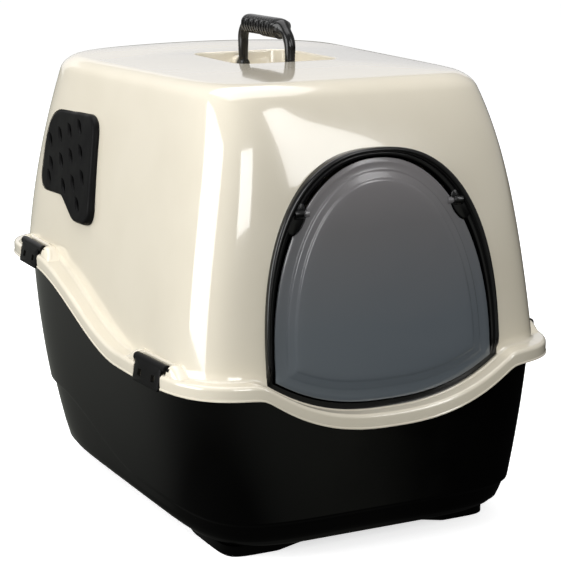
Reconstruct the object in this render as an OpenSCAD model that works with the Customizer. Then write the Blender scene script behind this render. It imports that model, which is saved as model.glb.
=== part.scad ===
/* [Overall] */
// Width over the flange, side to side
flange_w = 410; // [400:1:420]
// Length over the flange, front to back
flange_l = 500; // [490:1:510]
// Height of the hood's roof at its edge
roof_z = 430; // [428:1:432]
// Thickness of the hood's walls
hood_wall = 2.6; // [2.2:0.1:3.2]
// Thickness of the tray's walls
tray_wall = 3; // [2.4:0.1:3.6]

/* [Joint line] */
// Lower edge of the hood's skirt at the front shoulders
shoulder_z = 165; // [163:1:167]
// Lower edge of the skirt in the middle of the entrance dip
dip_z = 125; // [123:1:128]
// Lower edge of the skirt along the rear half
rear_z = 219; // [217:1:221]
// Half width of the dip under the entrance
dip_half_w = 128; // [126:1:130]
// Height of the skirt, and so of the ledge above its lower edge
skirt_h = 13.5; // [12.5:0.5:15]
// Rounding of the skirt's upper edge
skirt_round = 4; // [3.5:0.5:4.5]

/* [Entrance] */
// Half width of the entrance frame
frame_half_w = 119.5; // [118.5:0.5:120.5]
// Height of the top of the entrance frame
frame_top_z = 374; // [372:1:375]
// Lean of the entrance frame, back from upright
frame_lean = 6; // [5.8:0.1:6.2]
// Depth of the entrance frame
frame_depth = 12; // [11:0.5:12]
// Gap between the flap and the frame
flap_gap = 2; // [1.8:0.1:2.4]
// Height of the flap's pivot pins
pivot_z = 321; // [319:1:323]
// Radius of the flap's pivot pins
pivot_r = 2.5; // [2.2:0.1:2.6]

/* [Carry handle] */
// Span of the handle over its legs, front to back
handle_span = 115; // [114:0.5:116]
// Height of the top of the grip
grip_top_z = 475; // [473:0.5:475]
// Radius of the grip
grip_r = 10; // [9.5:0.5:10]
// Width of the recess in the roof
recess_w = 108; // [108:1:112]
// Length of the recess in the roof
recess_l = 129; // [128:0.5:131]
// Height of the recess's floor
recess_floor_z = 404; // [402:1:405]
// Middle of the handle, behind the middle of the flange
handle_y = 14.5; // [14:0.5:15]

/* [Latches] */
// Length of the latch's hinge roll
roll_l = 60; // [58:1:61]
// Radius of the latch's hinge roll
roll_r = 4.2; // [4:0.1:4.4]
// Distance of the latches before and behind the middle
latch_y = 152; // [151:0.5:153]
// Lean of the latch plate, outwards at its lower edge
latch_lean = 12; // [10:1:13]

/* [Vents] */
// Lean of the vents' plates, inwards at the top
vent_lean = 9.5; // [9:0.5:10]
// Length of a vent slot
slot_l = 19; // [16:1:20]
// Width of a vent slot
slot_w = 6.5; // [5:0.5:7]

/* [Hidden] */

plan_n = 6;
rear_n = 10;
latch_back = 4;
flange_a = flange_w/2;
flange_b = flange_l/2;
flange_k = 0.015;
fit_gap = 2.2;
pin_gap = 0.06;
tray_floor_z = 11;
foot_h = 4.5;
plinth_w = 281;
plinth_l = 379;
plinth_wall = 8;
recess_y = 19;
lug_r = 4.8;
lug_x = 77;
slot_tilt = 48;
crown = 5.5;
wave_y0 = -82;
wave_y1 = 143;
wall_z0 = 181;
arch_z0 = 191;
frame_foot_y = -230.5;
cream = "ivory";
black = "dimgray";
smoke = "slategray";

// Smooth rise from 0 to 1
function ease(u) = let (v = max(0, min(1, u))) v*v*(3 - 2*v);

// Point of a rounded plan outline at angle t. k widens it towards the rear
function plan(a, b, k, yc, t, n = plan_n) =
    let (r = pow(pow(abs(cos(t))/a, n) + pow(abs(sin(t))/b, n), -1/n),
         y = r*sin(t))
    [r*cos(t)*(1 + k*y/b), y + yc];

// Lower edge of the skirt over the point (x, y)
function dip(x) = let (v = 1 - pow(abs(x)/dip_half_w, 2.5)) (v + sqrt(v*v + 0.01))/2;
function wave_z(y) = shoulder_z + (rear_z - shoulder_z)*ease((y - wave_y0)/(wave_y1 - wave_y0));
function skirt_z(p) = wave_z(p[1]) - (p[1] < 0 ? (shoulder_z - dip_z)*dip(p[0]) : 0);

// Hood wall at height z, moved in by d
function hood_u(z) = (z - wall_z0)/(roof_z - wall_z0);
function hood_a(u) = 190 - 14*u - 24*u*u;
function hood_front(u) = 230 - 24*u - 34*pow(max(u, 0), 5);
function hood_rear(u) = 240 - 4*u - 32*u*u;
function hood_n(u, t) = sin(t) > 0 ? 12 - 5*max(u, 0) : 8;
function hood_plan(z, d, t) =
    let (u = hood_u(z), f = hood_front(u) - d, r = hood_rear(u) - d)
    plan(hood_a(u) - d, (f + r)/2, 0.02 + 0.06*max(u, 0), (r - f)/2, t, hood_n(u, t));

// Tray wall at height z, moved in by d
function tray_a(z) = 161.7 + 0.278*z - 0.00055*z*z;
function tray_b(z) = 229 + 0.03*z;
function tray_plan(z, d, t, e = 0) = plan(tray_a(z) - d, tray_b(z) - d - e, 0.02, 0, t);
function tray_step_z(p) = 41 + 46*ease((p[1] + 40)/165);

function flange_n(y) = y > 0 ? rear_n : plan_n;
function flange_plan(d, t) = plan(flange_a - d, flange_b - d, flange_k, 0, t, flange_n(sin(t)));
// Directions round the plan, closer together at the corners and over the entrance
RIGHT = [
    each [-90 : 3 : -57], each [-54.5 : 2.5 : -47], -44, -41, -37, -33, each [-28 : 6 : 26],
    31, 36, 40, 44, each [47 : 2.5 : 57], 61, 66, 73, 81, 90
];
function angles() = concat(RIGHT, [for (i = [len(RIGHT) - 2 : -1 : 1]) 180 - RIGHT[i]]);
function with_z(p, z) = [p[0], p[1], z];

// Solid through a list of rings, closed at both ends
module loft(rings) {
    n = len(rings[0]);
    m = len(rings);
    middle = [for (e = [0, m - 1]) [for (j = [0 : 2]) [for (p = rings[e]) p[j]] * [for (p = rings[e]) 1/n]]];
    points = concat([for (r = rings) for (p = r) p], middle);
    sides = [for (i = [0 : m - 2]) for (j = [0 : n - 1])
        let (a = i*n + j, b = i*n + (j + 1) % n, c = b + n, d = a + n)
        each [[a, c, b], [a, d, c]]];
    first = [for (j = [0 : n - 1]) [m*n, j, (j + 1) % n]];
    last = [for (j = [0 : n - 1]) [m*n + 1, (m - 1)*n + (j + 1) % n, (m - 1)*n + j]];
    polyhedron(points, concat(sides, first, last), convexity = 8);
}

module rounded_slab(w, l, h, r) {
    linear_extrude(h) rounded_rect(w, l, r);
}

module rounded_rect(w, l, r) {
    square([w - 2*r, l], center = true);
    square([w, l - 2*r], center = true);
    for (x = [-1, 1], y = [-1, 1])
        translate([x*(w/2 - r), y*(l/2 - r)]) circle(r, $fn = 32);
}

// ---- Hood ----

// Rings of one hood skin, from the ledge up over the roof's edge
function hood_rings(d, levels, fillet, foot) = concat(
    [for (i = [0 : levels])
        [for (t = angles())
            let (p = hood_plan(wall_z0, d, t), z0 = skirt_z(p) + foot,
                 z = z0 + (roof_z - d - fillet - z0)*i/levels)
            with_z(hood_plan(z, d, t), z)]],
    [for (f = [30, 60, 90])
        [for (t = angles())
            with_z(hood_plan(roof_z - d - fillet*(1 - sin(f)), d + fillet*(1 - cos(f)), t),
                   roof_z - d - fillet*(1 - sin(f)))]],
    [for (s = [0.9, 0.7, 0.4])
        [for (t = angles())
            with_z(hood_plan(roof_z - d, d + fillet, t)*s, roof_z - d + crown*(1 - s*s))]]
);

function reversed(v) = [for (i = [len(v) - 1 : -1 : 0]) v[i]];

function flange_ring(d, z) = [for (t = angles()) let (p = flange_plan(d, t)) with_z(p, skirt_z(p) + z)];

module hood_shell() {
    w = hood_wall;
    loft(concat(
        reversed(hood_rings(w, 6, 11, skirt_h - w)),
        [flange_ring(w + skirt_round, skirt_h - w)],
        [flange_ring(w, 0)],
        [flange_ring(0, 0)],
        [flange_ring(0.4, skirt_h - skirt_round)],
        [flange_ring(0.35*skirt_round, skirt_h - 0.3*skirt_round)],
        [flange_ring(skirt_round, skirt_h)],
        hood_rings(0, 6, 14, skirt_h)
    ));
}

// Places its children in the plane of the entrance frame, with y up from the floor
module in_frame_plane() {
    translate([0, frame_foot_y, wall_z0]) rotate([90 - frame_lean, 0, 0])
        translate([0, -wall_z0, 0]) children();
}

// Ledge height over x along the foot of the hood's front wall
function ledge_z(x) = skirt_z([x, -flange_b]) + skirt_h;

// Arch of the entrance, from its foot curve up and over
function arch_pts(a, top, n, foot) = concat(
    [for (i = [0 : 28])
        let (t = i*180/28, c = cos(t), s = sin(t))
        [a*sign(c)*pow(abs(c), 2/n), arch_z0 + (top - arch_z0)*pow(s, 2/n)]],
    [for (i = [0 : 16]) let (x = -a + 2*a*i/16) [x, ledge_z(x) + foot]]
);

module arch(a, top, n, foot) {
    polygon(arch_pts(a, top, n, foot));
}

module frame_outline() {
    arch(frame_half_w, frame_top_z, 2.4, 0.8);
}

module frame_inner() {
    arch(frame_half_w - 6.5, frame_top_z - 7, 2.2, 6);
}

module recess_slab(grow, z0, z1) {
    translate([0, recess_y, z0]) rounded_slab(recess_w + 2*grow, recess_l + 2*grow, z1 - z0, 20 + grow);
}

module hood() {
    color(cream) difference() {
        union() {
            difference() {
                union() {
                    hood_shell();
                    recess_slab(hood_wall, recess_floor_z - hood_wall, roof_z + 0.6*crown);
                }
                recess_slab(0, recess_floor_z, roof_z + 40);
                in_frame_plane() translate([0, 0, -30]) linear_extrude(60) frame_outline();
                for (side = [-1, 1])
                    in_vent_plane(side) translate([0, 0, -30]) linear_extrude(60) vent_outline(0);
                for (sx = [-1, 1], sy = [-1, 1]) at_latch(sx, sy) latch_notch();
            }
            handle_bosses();
            latch_fairings();
        }
        handle_pins(pivot_r + pin_gap, 1);
        for (sx = [-1, 1], sy = [-1, 1]) at_latch(sx, sy)
            along_roll(-roll_l/2 - 5, roll_l/2 + 5, latch_pin_r + pin_gap);
    }
}

// ---- Entrance frame and flap ----

module flap_axis(r, x0, x1) {
    for (side = [-1, 1])
        in_frame_plane() translate([side > 0 ? x0 : -x1, pivot_z, 0])
            rotate([0, 90, 0]) cylinder(h = x1 - x0, r = r, $fn = 48);
}

module entrance_frame() {
    color(black) difference() {
        union() {
            in_frame_plane() translate([0, 0, -frame_depth/2 - 1]) linear_extrude(frame_depth)
                difference() {
                    frame_outline();
                    frame_inner();
                }
            flap_axis(lug_r, lug_x, lug_x + 9);
        }
        flap_axis(pivot_r + pin_gap, lug_x - 1, lug_x + 7);
    }
}

module flap_outline(inset) {
    arch(frame_half_w - 6.5 - flap_gap - inset, frame_top_z - 7 - flap_gap - inset, 2.1,
         6 + flap_gap + inset);
}

module flap_door() {
    color(smoke) {
        difference() {
            in_frame_plane() {
                translate([0, 0, -2]) linear_extrude(2.4) flap_outline(0);
                translate([0, 0, 0.4]) linear_extrude(2) flap_outline(14);
                translate([0, 0, 2.4]) linear_extrude(1.6) flap_outline(20);
            }
            flap_axis(lug_r + 1, lug_x - 0.8, frame_half_w);
        }
        flap_axis(pivot_r, lug_x - 4, lug_x + 6.5);
    }
}

// ---- Carry handle ----

handle_half = handle_span/2;
handle_z = recess_floor_z + 19;
handle_leg = 9;

// Cylinder along y from y0 to y1, on the handle's own axis or z above it
module along_y(y0, y1, r, z = 0) {
    translate([0, handle_y + y0, handle_z + z]) rotate([-90, 0, 0]) cylinder(h = y1 - y0, r = r, $fn = 48);
}

module handle_pins(r, extra) {
    along_y(-handle_half - 5 - extra, -handle_half + 2, r);
    along_y(handle_half - 2, handle_half + 5 + extra, r);
}

module handle_bosses() {
    front = handle_y - recess_y + recess_l/2;
    rear = recess_y - handle_y + recess_l/2;
    along_y(-front - 6, -front, 7);
    along_y(handle_half + 0.8, rear + 1, 7);
}

// One side of the handle's bow, seen from the side, with its top corners rounded
module bow(half_l, h, r) {
    for (side = [-1, 1]) translate([side*(half_l - r), h - r]) circle(r, $fn = 96);
    translate([-half_l, 0]) square([2*half_l, h - r]);
    translate([-half_l + r, 0]) square([2*(half_l - r), h]);
}

module carry_handle() {
    ribs = 13;
    grip_half = 35;
    bow_h = grip_top_z - handle_z - 2;
    grip_up = grip_top_z - handle_z - grip_r;
    color(black) {
        translate([0, handle_y, handle_z]) rotate([90, 0, 90]) linear_extrude(9, center = true)
            difference() {
                bow(handle_half, bow_h, 20);
                translate([0, -1]) bow(handle_half - handle_leg, bow_h + 1 - 14, 12);
            }
        for (side = [0, 1])
            along_y(side*(2*handle_half - handle_leg) - handle_half,
                    side*(2*handle_half - handle_leg) - handle_half + handle_leg, 5.5);
        along_y(-grip_half - 2, grip_half + 2, grip_r - 1.2, grip_up + 0.8);
        for (i = [0 : ribs - 1])
            let (y = grip_half*(2*(i + 0.5)/ribs - 1)) along_y(y - 1.8, y + 1.8, grip_r, grip_up - 0.6);
        handle_pins(pivot_r, 0);
    }
}

// ---- Latches ----

// Half width of the ledge's outer edge at y
function side_x(y) =
    let (a = flange_a - skirt_round, b = flange_b - skirt_round)
    a*pow(1 - pow(abs(y)/b, flange_n(y)), 1/flange_n(y))*(1 + flange_k*y/b);

roll_in = 3.2;
roll_up = roll_r + 0.5;
latch_pin_r = 1.8;
plate_h = skirt_h + roll_up + 3;

function latch_mid(sy) = sy*latch_y + latch_back;

// Hinge axis of a latch, with x outwards and y along the axis
module at_latch(sx, sy) {
    y = latch_mid(sy);
    turn = atan(side_x(y - 0.5) - side_x(y + 0.5));
    mirror([sx < 0 ? 1 : 0, 0, 0]) translate([side_x(y) - roll_in, y, wave_z(y) + skirt_h + roll_up])
        rotate([0, 0, turn]) children();
}

module along_roll(v0, v1, r) {
    translate([0, v0, 0]) rotate([-90, 0, 0]) cylinder(h = v1 - v0, r = r, $fn = 48);
}

module plate_shape(grow) {
    w = roll_l - 10 + 2*grow;
    translate([-w/2, -plate_h - grow]) square([w, plate_h + grow + 1]);
}

// Places its children in the latch plate's own plane, with y up from the hinge axis
module in_plate_plane() {
    translate([1.6, 0, 0]) rotate([0, -latch_lean, 0]) rotate([90, 0, 90]) children();
}

module latch_body() {
    along_roll(-roll_l/2, roll_l/2, roll_r);
    along_roll(-roll_l/2 - 4, roll_l/2 + 4, latch_pin_r);
    difference() {
        in_plate_plane() linear_extrude(2.6) plate_shape(0);
        for (v = [-13, 13])
            in_plate_plane() translate([v, -plate_h + 9.5, -1])
                linear_extrude(6) square([6.5, 6], center = true);
    }
}

module latch_notch() {
    in_plate_plane() translate([0, 0, -1]) linear_extrude(14) plate_shape(1);
    along_roll(-roll_l/2 - 1, roll_l/2 + 1, roll_r + 0.4);
}

// Cross-section over the ledge at y of a fairing h high
function fairing_ring(y, h) =
    let (x = side_x(y), z = wave_z(y) + skirt_h)
    [for (p = [[-22, -2], [-22, h], [-7, h], [-3, 0.85*h], [0, 0.4*h], [1.8, -2]]) [x + p[0], y, z + p[1]]];

// Swelling of the ledge that carries an end of the latch's roll and runs out into the ledge
module fairing(sy, side) {
    y0 = latch_mid(sy) + side*(roll_l/2 + 0.6);
    sunk = 1.2;
    rings = [for (v = [0 : 4 : 24])
        fairing_ring(y0 + side*v, (roll_up + roll_r + sunk)*(1 - ease(v/24)) - sunk)];
    loft(side > 0 ? rings : reversed(rings));
}

// Rib of the ledge behind a latch's roll, from one fairing to the other
module roll_rib(sy) {
    h = roll_up + roll_r;
    loft([for (v = [-roll_l/2 - 3 : 6 : roll_l/2 + 3])
        let (y = latch_mid(sy) + v, x = side_x(y), z = wave_z(y) + skirt_h)
        [for (p = [[-22, -2], [-22, h], [-9.8, h], [-9, h - 1], [-9, -2]]) [x + p[0], y, z + p[1]]]]);
}

module latch_fairings() {
    intersection() {
        for (sx = [0, 1], sy = [-1, 1]) mirror([sx, 0, 0]) {
            roll_rib(sy);
            for (side = [-1, 1]) fairing(sy, side);
        }
        translate([0, 0, 100]) linear_extrude(200) difference() {
            polygon([for (t = angles()) flange_plan(1.6, t)]);
            polygon([for (t = angles()) hood_plan(wall_z0 + 40, hood_wall/2, t)]);
        }
    }
}

module latch(sx, sy) {
    color(black) at_latch(sx, sy) latch_body();
}

module latch_left_front() { latch(-1, -1); }
module latch_left_rear() { latch(-1, 1); }
module latch_right_front() { latch(1, -1); }
module latch_right_rear() { latch(1, 1); }

// ---- Vents ----

vent_mid_z = 330;
vent_x = 177;

// Places its children in the vent's plane: x is towards the rear, y is up, z is outwards
module in_vent_plane(side) {
    mirror([side < 0 ? 1 : 0, 0, 0]) translate([vent_x, 0, vent_mid_z]) rotate([0, -vent_lean, 0])
        rotate([0, 0, 1]) rotate([90, 0, 90]) children();
}

// Corner points of the vent with the radius of each corner
VENT = [[43, 53, 24], [178, 47, 44], [178, -38, 22], [112, -36, 34], [70, -56, 34], [25, -54, 17]];

module vent_outline(inset) {
    offset(delta = -inset) polygon([for (i = [0 : len(VENT) - 1]) each rounded_corner(i)]);
}

function unit(v) = v/norm(v);
function rounded_corner(i) =
    let (n = len(VENT), c = VENT[i], p = VENT[(i + n - 1) % n], q = VENT[(i + 1) % n],
         m = [c[0], c[1]], u = unit([p[0], p[1]] - m), v = unit([q[0], q[1]] - m),
         half = acos(u*v)/2, back = min(c[2]/tan(half), 42))
    [for (s = [0 : 0.25 : 1])
        (m + u*back)*pow(1 - s, 2) + 2*s*(1 - s)*m + (m + v*back)*s*s];

module slot_shape() {
    r = (slot_l*slot_l/4 + slot_w*slot_w/4)/slot_w;
    intersection() {
        translate([r - slot_w/2, 0]) circle(r, $fn = 64);
        translate([-r + slot_w/2, 0]) circle(r, $fn = 64);
    }
}

// Middles of the slots, in rows that fall towards the rear
SLOTS = [
    [81, 37], [108, 30], [135, 23], [162, 14], [69, 13], [95.5, 5.5], [122, -2], [151, -9],
    [56, -10.5], [80, -19], [106, -26], [152, -23], [60, -38]
];

module vent_slots() {
    for (p = SLOTS) translate(p) rotate(-slot_tilt) slot_shape();
}

module vent_grille(side) {
    color(black) in_vent_plane(side) difference() {
        translate([0, 0, -5]) linear_extrude(9.5) vent_outline(0);
        translate([0, 0, -6]) linear_extrude(8) vent_outline(5);
        translate([0, 0, -1]) linear_extrude(8) vent_slots();
    }
}

module filter_holder(side) {
    color(black) in_vent_plane(side) translate([0, 0, -15]) linear_extrude(10) difference() {
        vent_outline(2);
        vent_outline(8);
    }
}

module carbon_filter(side) {
    color("dimgray") in_vent_plane(side) translate([0, 0, -12]) linear_extrude(6) vent_outline(8.1);
}

module vent_grille_left() { vent_grille(-1); }
module vent_grille_right() { vent_grille(1); }
module filter_holder_left() { filter_holder(-1); }
module filter_holder_right() { filter_holder(1); }
module carbon_filter_left() { carbon_filter(-1); }
module carbon_filter_right() { carbon_filter(1); }

// ---- Tray ----

module tray_shell() {
    lip_d = hood_wall + skirt_round + 1;
    top = skirt_h - hood_wall - fit_gap;
    w = tray_wall;
    function level(z, d, e) = [for (t = angles()) with_z(tray_plan(z, d, t, e), z)];
    function along(z, d, e = 0) = [for (i = [0 : len(z) - 1])
        with_z(tray_plan(z[i], d, angles()[i], e), z[i])];
    step_z = [for (t = angles()) tray_step_z(tray_plan(30, 0, t))];
    lip_z = [for (t = angles()) skirt_z(flange_plan(lip_d, t)) + top];
    rim_z = [for (t = angles()) skirt_z(tray_plan(150, w, t)) + top];
    mid_z = (step_z + rim_z)/2;
    low_z = [for (z = step_z) 24 + 0.25*(z - 24)];
    function lip(down) = [for (i = [0 : len(lip_z) - 1])
        with_z(flange_plan(lip_d, angles()[i]), lip_z[i] - down)];
    loft([
        level(tray_floor_z, 15, 12),
        level(tray_floor_z + 3, 9, 10),
        level(tray_floor_z + 9, 4, 7),
        along(low_z, 3, 3),
        along([for (z = step_z) z - 1.5], 2.5),
        along(step_z, 0),
        along(mid_z, 0),
        along([for (z = rim_z) z - 2.4], 0),
        lip(2.4),
        lip(0),
        along(rim_z, w),
        along(mid_z, w),
        along([for (z = step_z) z + 2], w + 2.5),
        along([for (z = low_z) z + 1], w + 3, 3),
        level(tray_floor_z + 8, 9 + w, 9),
        level(tray_floor_z + w, 16 + w, 12)
    ]);
}

module plinth_ring() {
    difference() {
        rounded_rect(plinth_w, plinth_l, 16);
        rounded_rect(plinth_w - 2*plinth_wall, plinth_l - 2*plinth_wall, 10);
    }
}

// Ramped ends of the feet, from the middle outwards, as a slab along the other axis
module foot_ramp(x0, x1, half_l) {
    rotate([90, 0, 0]) linear_extrude(2*half_l, center = true)
        polygon([[x0, foot_h + 1], [x0, foot_h], [x1, 0], [250, 0], [250, foot_h + 1]]);
}

// Ramped foot under each corner of the plinth
module feet() {
    intersection() {
        linear_extrude(foot_h + 1) plinth_ring();
        for (side = [0, 180]) rotate([0, 0, side]) {
            intersection() {
                foot_ramp(66, 89, 250);
                for (y = [-1, 1]) translate([100, y*(plinth_l/2 - 8), 0]) cube([90, 18, 30], center = true);
            }
            for (y = [0, 1]) mirror([0, y, 0]) intersection() {
                rotate([0, 0, 90]) foot_ramp(92, 114, 250);
                translate([plinth_w/2 - 8, 200, 0]) cube([30, 300, 30], center = true);
            }
        }
    }
}

module tray_catches() {
    for (sx = [-1, 1], sy = [-1, 1]) at_latch(sx, sy) for (v = [-13, 13])
        translate([-6, v - 2.6, -roll_up - skirt_h + 4]) cube([6.4, 5.2, 5]);
}

module base_tray() {
    color(black) {
        difference() {
            union() {
                tray_shell();
                translate([0, 0, foot_h]) linear_extrude(tray_floor_z + 2 - foot_h)
                    rounded_rect(plinth_w, plinth_l, 16);
            }
            translate([0, 0, foot_h + tray_wall]) linear_extrude(20)
                rounded_rect(plinth_w - 2*tray_wall, plinth_l - 2*tray_wall, 13);
        }
        feet();
        tray_catches();
    }
}

base_tray();
hood();
entrance_frame();
flap_door();
carry_handle();
latch_left_front();
latch_left_rear();
latch_right_front();
latch_right_rear();
vent_grille_left();
vent_grille_right();
filter_holder_left();
filter_holder_right();
carbon_filter_left();
carbon_filter_right();
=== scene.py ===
import math

import bmesh
import bpy
from mathutils import Matrix


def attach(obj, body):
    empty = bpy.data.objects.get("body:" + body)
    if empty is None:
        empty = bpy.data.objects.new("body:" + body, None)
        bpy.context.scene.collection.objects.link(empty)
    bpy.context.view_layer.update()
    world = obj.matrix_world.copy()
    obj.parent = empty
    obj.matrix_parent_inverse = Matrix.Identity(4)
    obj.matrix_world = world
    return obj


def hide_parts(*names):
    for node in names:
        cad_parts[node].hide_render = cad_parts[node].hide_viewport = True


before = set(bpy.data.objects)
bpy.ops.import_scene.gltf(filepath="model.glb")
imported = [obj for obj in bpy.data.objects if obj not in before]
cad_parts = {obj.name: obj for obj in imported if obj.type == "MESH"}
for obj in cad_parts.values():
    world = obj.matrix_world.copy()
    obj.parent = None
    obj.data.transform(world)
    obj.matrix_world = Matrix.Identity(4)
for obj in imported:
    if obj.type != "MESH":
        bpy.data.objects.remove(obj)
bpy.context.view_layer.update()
MM = 0.001

# ---------------------------------------------------------------- shape of the box, in millimetres

# outlines from above: half widths, half lengths, widening to the rear and roundness
FLANGE_A, FLANGE_B, FLANGE_K = 205.0, 250.0, 0.015
PLAN_N, REAR_N = 6, 10
HOOD_A, HOOD_FRONT, HOOD_REAR = 190.0, 230.0, 240.0
TRAY_A, TRAY_B, TRAY_WALL, TRAY_GAP = 161.7, 229.0, 3.0, 2.2
# the tray's stepped band, the hood's walls and the wave of the skirt's lower edge
STEP_Z, STEP_RISE, STEP_Y0, STEP_RUN = 41.0, 46.0, -40.0, 165.0
ROOF_Z, WALL, WALL_Z0, CROWN = 430.0, 2.6, 181.0, 5.5
SHOULDER_Z, DIP_Z, REAR_Z, DIP_HALF_W = 165.0, 125.0, 219.0, 128.0
WAVE_Y0, WAVE_Y1 = -82.0, 143.0
SKIRT_H, SKIRT_ROUND = 13.5, 4.0
ROOF_FILLET, INNER_FILLET, REAR_ARCH = 14, 11, 6.0
# entrance frame and flap
ARCH_Z0, FRAME_A, FRAME_TOP, FRAME_FOOT_Y = 191.0, 119.5, 374.0, -230.5
ARCH_STEPS, FRAME_W, FRAME_TOP_W, SILL, FLAP_GAP = 120, 6.5, 7, 6, 2
LEAN, LOBE_LEAN = math.radians(84), math.radians(27)
PIVOT_Z, PIVOT_R, LUG_R, LUG_X = 321.0, 2.5, 4.8, 77.0
# recess in the roof and carry handle
RECESS_Y, RECESS_W, RECESS_L, RECESS_Z, RECESS_R = 19.0, 108.0, 129.0, 404.0, 20
HANDLE_Y, HANDLE_Z, HANDLE_HALF, HANDLE_TOP = 14.5, 423.0, 57.5, 43.0
FRONT_BEND, REAR_BEND, RIBS, GRIP_L = 25, 18, 13, 75.4
# latches
LATCH_Y, LATCH_BACK, WINDOW_Y, WINDOW_UP = 152.0, 4.0, 13, 9.5
ROLL_L, ROLL_R, ROLL_IN, LATCH_LEAN = 60.0, 4.2, 3.2, math.radians(12)
ROLL_UP = ROLL_R + 0.5
PLATE_H, PLATE_W = SKIRT_H + ROLL_UP + 3, ROLL_L - 10
# vents: corners of a plate as (x, y, radius), and middles of the slots
VENT_X, VENT_MID_Z, VENT_LEAN = 177.0, 330.0, math.radians(9.5)
VENT = ((43, 53, 24), (178, 47, 44), (178, -38, 22), (112, -36, 34), (70, -56, 34), (25, -54, 17))
SLOTS = ((81, 37), (108, 30), (135, 23), (162, 14), (69, 13), (95.5, 5.5), (122, -2), (151, -9),
         (56, -10.5), (80, -19), (106, -26), (152, -23), (60, -38))
SLOT_TILT = math.radians(-48)
SLOT_LEVELS = ((19, 6.5, -1), (19, 6.5, 2.2), (21.5, 8.6, 3.9), (23.5, 10.4, 4.8))
# plinth of the tray
FOOT_H, PLINTH_W, PLINTH_L, PLINTH_N = 4.5, 281.0, 379.0, 20
SIDES = (-1, 1)
CORNERS = [(sx, sy) for sx in SIDES for sy in SIDES]
FAR_OUT = 999  # an x beyond the entrance's dip


def ease(u):
    """Smooth step from 0 to 1."""
    v = max(0.0, min(1.0, u))
    return v * v * (3 - 2 * v)


def spow(v, e):
    """Power that keeps the sign of its base."""
    return math.copysign(abs(v) ** e, v)


def sincos(degrees):
    """Sine and cosine of an angle in degrees."""
    a = math.radians(degrees)
    return math.sin(a), math.cos(a)


def plan(a, b, k, yc, t, n=PLAN_N):
    """Point of a rounded plan outline at angle t, widened towards the rear by k."""
    r = ((abs(math.cos(t)) / a) ** n + (abs(math.sin(t)) / b) ** n) ** (-1 / n)
    y = r * math.sin(t)
    return (r * math.cos(t) * (1 + k * y / b), y + yc)


def skirt_z(p):
    """Lower edge of the hood's skirt over the point p."""
    z = SHOULDER_Z + (REAR_Z - SHOULDER_Z) * ease((p[1] - WAVE_Y0) / (WAVE_Y1 - WAVE_Y0))
    if p[1] < 0:
        v = 1 - (abs(p[0]) / DIP_HALF_W) ** 2.5
        z -= (SHOULDER_Z - DIP_Z) * (v + math.sqrt(v * v + 0.01)) / 2
    return z


def flange(d, t):
    """Edge of the hood's flange, moved in by d."""
    return plan(FLANGE_A - d, FLANGE_B - d, FLANGE_K, 0, t, REAR_N if math.sin(t) > 0 else PLAN_N)


def hood_plan(z, d, t):
    """Hood wall at height z, moved in by d."""
    u = (z - WALL_Z0) / (ROOF_Z - WALL_Z0)
    a = HOOD_A - 14 * u - 24 * u * u
    f = HOOD_FRONT - 24 * u - 34 * max(u, 0) ** 5 - d
    r = HOOD_REAR - 4 * u - 32 * u * u - d
    n = 12 - 5 * max(u, 0) if math.sin(t) > 0 else 8
    return plan(a - d, (f + r) / 2, 0.02 + 0.06 * max(u, 0), (r - f) / 2, t, n)


def tray_plan(z, d, t, e=0.0):
    """Tray wall at height z, moved in by d, and by e more at the ends."""
    a = TRAY_A + 0.278 * z - 0.00055 * z * z
    return plan(a - d, TRAY_B + 0.03 * z - d - e, 0.02, 0, t)


def tray_step_z(p):
    """Height of the stepped band round the tray, over the point p."""
    return STEP_Z + STEP_RISE * ease((p[1] - STEP_Y0) / STEP_RUN)


def even_angles(n):
    """Angles at which the flange's outline is cut into n equal lengths."""
    fine = [2 * math.pi * i / 4000 - math.pi / 2 for i in range(4001)]
    pts = [flange(0, t) for t in fine]
    run = [0.0]
    for p, q in zip(pts, pts[1:]):
        run.append(run[-1] + math.dist(p, q))
    out, i = [], 0
    for k in range(n):
        while run[i + 1] < run[-1] * k / n:
            i += 1
        out.append(fine[i] + (fine[i + 1] - fine[i]) * (run[-1] * k / n - run[i]) / (run[i + 1] - run[i]))
    return out


T = even_angles(420)


def side_x(y):
    """Half width of the ledge's outer edge at y."""
    a, b = FLANGE_A - SKIRT_ROUND, FLANGE_B - SKIRT_ROUND
    n = REAR_N if y > 0 else PLAN_N
    return a * (1 - (abs(y) / b) ** n) ** (1 / n) * (1 + FLANGE_K * y / b)


def side_ledge_z(y):
    """Ledge height along the sides at y."""
    return skirt_z((FAR_OUT, y)) + SKIRT_H


def latch_y(sy):
    """Middle of a latch along the side."""
    return sy * LATCH_Y + LATCH_BACK


def steps(a, b, n):
    """Values from a to b in n equal steps."""
    return [a + (b - a) * i / n for i in range(n + 1)]


# ---------------------------------------------------------------- mesh helpers

def loft(rings, caps=True):
    """Skin through a list of rings, closed at both ends."""
    n, m = len(rings[0]), len(rings)
    verts = [p for r in rings for p in r]
    faces = [(i * n + j, i * n + (j + 1) % n, (i + 1) * n + (j + 1) % n, (i + 1) * n + j)
             for i in range(m - 1) for j in range(n)]
    if caps:
        for e, ring in ((0, rings[0]), (m - 1, rings[-1])):
            c = len(verts)
            verts.append(tuple(sum(p[k] for p in ring) / n for k in range(3)))
            for j in range(n):
                tri = (c, e * n + (j + 1) % n, e * n + j)
                faces.append(tri if e == 0 else tri[::-1])
    return verts, faces


def merged(*parts):
    verts, faces = [], []
    for v, f in parts:
        k = len(verts)
        verts += v
        faces += [tuple(i + k for i in face) for face in f]
    return verts, faces


def moved(part, place):
    return [place(*p) for p in part[0]], part[1]


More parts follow.
